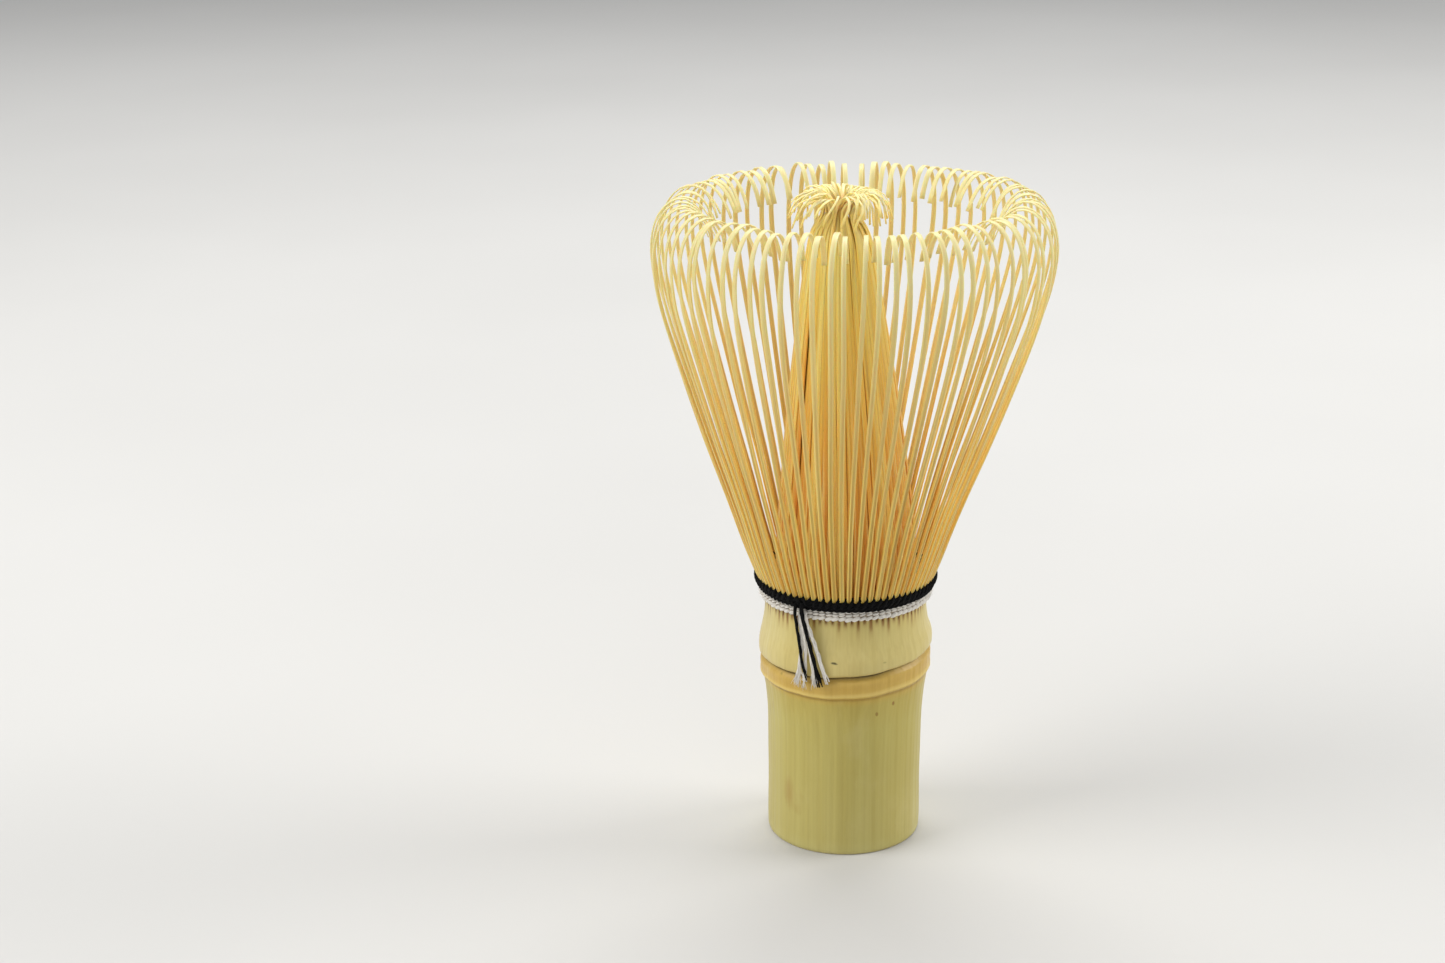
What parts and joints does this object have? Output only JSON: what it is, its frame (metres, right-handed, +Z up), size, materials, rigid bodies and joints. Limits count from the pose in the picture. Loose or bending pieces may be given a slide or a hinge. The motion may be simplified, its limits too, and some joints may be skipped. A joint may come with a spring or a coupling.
{
  "type": "tea whisk",
  "caption": "Bamboo tea whisk with a split culm: curled outer tines, an inner bundle that opens at its tip, and black and white thread laced round the roots.",
  "frame": {"origin": "centre of the cut foot of the handle, on the surface it stands on", "axes": "+Z up along the culm from the foot to the tines; -Y is the side on which the thread ends hang, so +X is to the right seen from there"},
  "size_m": [0.0646, 0.0646, 0.1111],
  "materials": {
    "bamboo_culm": "smooth satin bamboo skin, pale olive yellow",
    "outer_bamboo": "shaved satin bamboo, golden at the roots and cream at the curls",
    "inner_bamboo": "shaved satin bamboo, deep gold",
    "black_thread": "matt twisted thread",
    "white_thread": "matt twisted thread"
  },
  "bodies": {
    "grip": {"bamboo_grip": "bamboo_culm", "black_lacing": "black_thread", "white_lacing": "white_thread", "white_thread_end_1": "white_thread", "white_thread_end_2": "white_thread", "white_thread_end_3": "white_thread", "white_thread_end_4": "white_thread", "black_thread_end_1": "black_thread", "black_thread_end_2": "black_thread"},
    "outer_stave_01": {"outer_tines_01": "outer_bamboo"},
    "outer_stave_02": {"outer_tines_02": "outer_bamboo"},
    "outer_stave_03": {"outer_tines_03": "outer_bamboo"},
    "outer_stave_04": {"outer_tines_04": "outer_bamboo"},
    "outer_stave_05": {"outer_tines_05": "outer_bamboo"},
    "outer_stave_06": {"outer_tines_06": "outer_bamboo"},
    "outer_stave_07": {"outer_tines_07": "outer_bamboo"},
    "outer_stave_08": {"outer_tines_08": "outer_bamboo"},
    "outer_stave_09": {"outer_tines_09": "outer_bamboo"},
    "outer_stave_10": {"outer_tines_10": "outer_bamboo"},
    "outer_stave_11": {"outer_tines_11": "outer_bamboo"},
    "outer_stave_12": {"outer_tines_12": "outer_bamboo"},
    "outer_stave_13": {"outer_tines_13": "outer_bamboo"},
    "outer_stave_14": {"outer_tines_14": "outer_bamboo"},
    "outer_stave_15": {"outer_tines_15": "outer_bamboo"},
    "outer_stave_16": {"outer_tines_16": "outer_bamboo"},
    "inner_bundle": {"inner_tines_01": "inner_bamboo", "inner_tines_02": "inner_bamboo", "inner_tines_03": "inner_bamboo", "inner_tines_04": "inner_bamboo", "inner_tines_05": "inner_bamboo", "inner_tines_06": "inner_bamboo", "inner_tines_07": "inner_bamboo", "inner_tines_08": "inner_bamboo", "inner_tines_09": "inner_bamboo", "inner_tines_10": "inner_bamboo", "inner_tines_11": "inner_bamboo", "inner_tines_12": "inner_bamboo", "inner_tines_13": "inner_bamboo", "inner_tines_14": "inner_bamboo", "inner_tines_15": "inner_bamboo", "inner_tines_16": "inner_bamboo"}
  },
  "joints": [
    {"name": "flex_01", "type": "hinge", "parent": "grip", "child": "outer_stave_01", "pos_m": [0.01354, 0.00269, 0.0452], "axis": [-0.1951, 0.9808, 0], "range_deg": [-2.5, 8], "stiffness_Nm_per_rad": 0.015},
    {"name": "flex_02", "type": "hinge", "parent": "grip", "child": "outer_stave_02", "pos_m": [0.01147, 0.00767, 0.0452], "axis": [-0.5556, 0.8315, 0], "range_deg": [-2.5, 8], "stiffness_Nm_per_rad": 0.015},
    {"name": "flex_03", "type": "hinge", "parent": "grip", "child": "outer_stave_03", "pos_m": [0.00767, 0.01147, 0.0452], "axis": [-0.8315, 0.5556, 0], "range_deg": [-2.5, 8], "stiffness_Nm_per_rad": 0.015},
    {"name": "flex_04", "type": "hinge", "parent": "grip", "child": "outer_stave_04", "pos_m": [0.00269, 0.01354, 0.0452], "axis": [-0.9808, 0.1951, 0], "range_deg": [-2.5, 8], "stiffness_Nm_per_rad": 0.015},
    {"name": "flex_05", "type": "hinge", "parent": "grip", "child": "outer_stave_05", "pos_m": [-0.00269, 0.01354, 0.0452], "axis": [-0.9808, -0.1951, 0], "range_deg": [-2.5, 8], "stiffness_Nm_per_rad": 0.015},
    {"name": "flex_06", "type": "hinge", "parent": "grip", "child": "outer_stave_06", "pos_m": [-0.00767, 0.01147, 0.0452], "axis": [-0.8315, -0.5556, 0], "range_deg": [-2.5, 8], "stiffness_Nm_per_rad": 0.015},
    {"name": "flex_07", "type": "hinge", "parent": "grip", "child": "outer_stave_07", "pos_m": [-0.01147, 0.00767, 0.0452], "axis": [-0.5556, -0.8315, 0], "range_deg": [-2.5, 8], "stiffness_Nm_per_rad": 0.015},
    {"name": "flex_08", "type": "hinge", "parent": "grip", "child": "outer_stave_08", "pos_m": [-0.01354, 0.00269, 0.0452], "axis": [-0.1951, -0.9808, 0], "range_deg": [-2.5, 8], "stiffness_Nm_per_rad": 0.015},
    {"name": "flex_09", "type": "hinge", "parent": "grip", "child": "outer_stave_09", "pos_m": [-0.01354, -0.00269, 0.0452], "axis": [0.1951, -0.9808, 0], "range_deg": [-2.5, 8], "stiffness_Nm_per_rad": 0.015},
    {"name": "flex_10", "type": "hinge", "parent": "grip", "child": "outer_stave_10", "pos_m": [-0.01147, -0.00767, 0.0452], "axis": [0.5556, -0.8315, 0], "range_deg": [-2.5, 8], "stiffness_Nm_per_rad": 0.015},
    {"name": "flex_11", "type": "hinge", "parent": "grip", "child": "outer_stave_11", "pos_m": [-0.00767, -0.01147, 0.0452], "axis": [0.8315, -0.5556, 0], "range_deg": [-2.5, 8], "stiffness_Nm_per_rad": 0.015},
    {"name": "flex_12", "type": "hinge", "parent": "grip", "child": "outer_stave_12", "pos_m": [-0.00269, -0.01354, 0.0452], "axis": [0.9808, -0.1951, 0], "range_deg": [-2.5, 8], "stiffness_Nm_per_rad": 0.015},
    {"name": "flex_13", "type": "hinge", "parent": "grip", "child": "outer_stave_13", "pos_m": [0.00269, -0.01354, 0.0452], "axis": [0.9808, 0.1951, 0], "range_deg": [-2.5, 8], "stiffness_Nm_per_rad": 0.015},
    {"name": "flex_14", "type": "hinge", "parent": "grip", "child": "outer_stave_14", "pos_m": [0.00767, -0.01147, 0.0452], "axis": [0.8315, 0.5556, 0], "range_deg": [-2.5, 8], "stiffness_Nm_per_rad": 0.015},
    {"name": "flex_15", "type": "hinge", "parent": "grip", "child": "outer_stave_15", "pos_m": [0.01147, -0.00767, 0.0452], "axis": [0.5556, 0.8315, 0], "range_deg": [-2.5, 8], "stiffness_Nm_per_rad": 0.015},
    {"name": "flex_16", "type": "hinge", "parent": "grip", "child": "outer_stave_16", "pos_m": [0.01354, -0.00269, 0.0452], "axis": [0.1951, 0.9808, 0], "range_deg": [-2.5, 8], "stiffness_Nm_per_rad": 0.015},
    {"name": "bundle_sway", "type": "hinge", "parent": "grip", "child": "inner_bundle", "pos_m": [0, 0, 0.0445], "axis": [0, 1, 0], "range_deg": [-3, 3], "stiffness_Nm_per_rad": 0.12}
  ]
}
